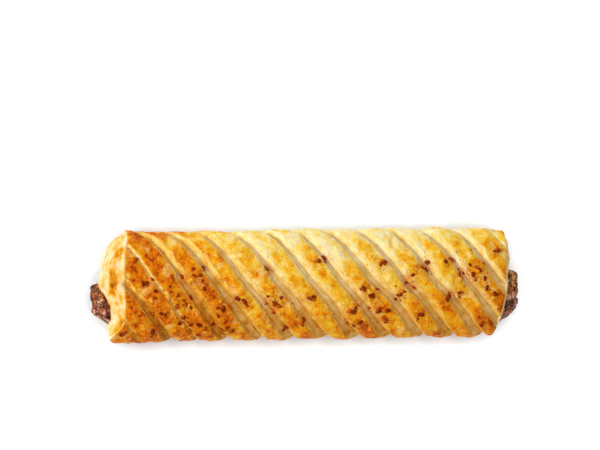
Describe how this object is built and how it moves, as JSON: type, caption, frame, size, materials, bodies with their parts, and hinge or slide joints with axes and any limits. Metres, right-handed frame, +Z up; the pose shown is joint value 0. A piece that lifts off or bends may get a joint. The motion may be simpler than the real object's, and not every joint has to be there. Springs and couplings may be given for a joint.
{
  "type": "puff pastry stick",
  "caption": "Savoury stick of slashed, golden puff pastry round a rod of minced filling that shows at both ends, sprinkled with seasoning flakes.",
  "frame": {"origin": "on the board, under the middle of the stick's bounding box", "axes": "+X along the stick, towards the end whose corner is cut back; +Z up"},
  "size_m": [0.1797, 0.0461, 0.0244],
  "materials": {
    "crust": "baked and egg-washed",
    "mince": "cooked and moist",
    "seasoning": "toasted"
  },
  "bodies": {
    "root": {"pastry": "crust", "filling": "mince"}
  },
  "joints": []
}
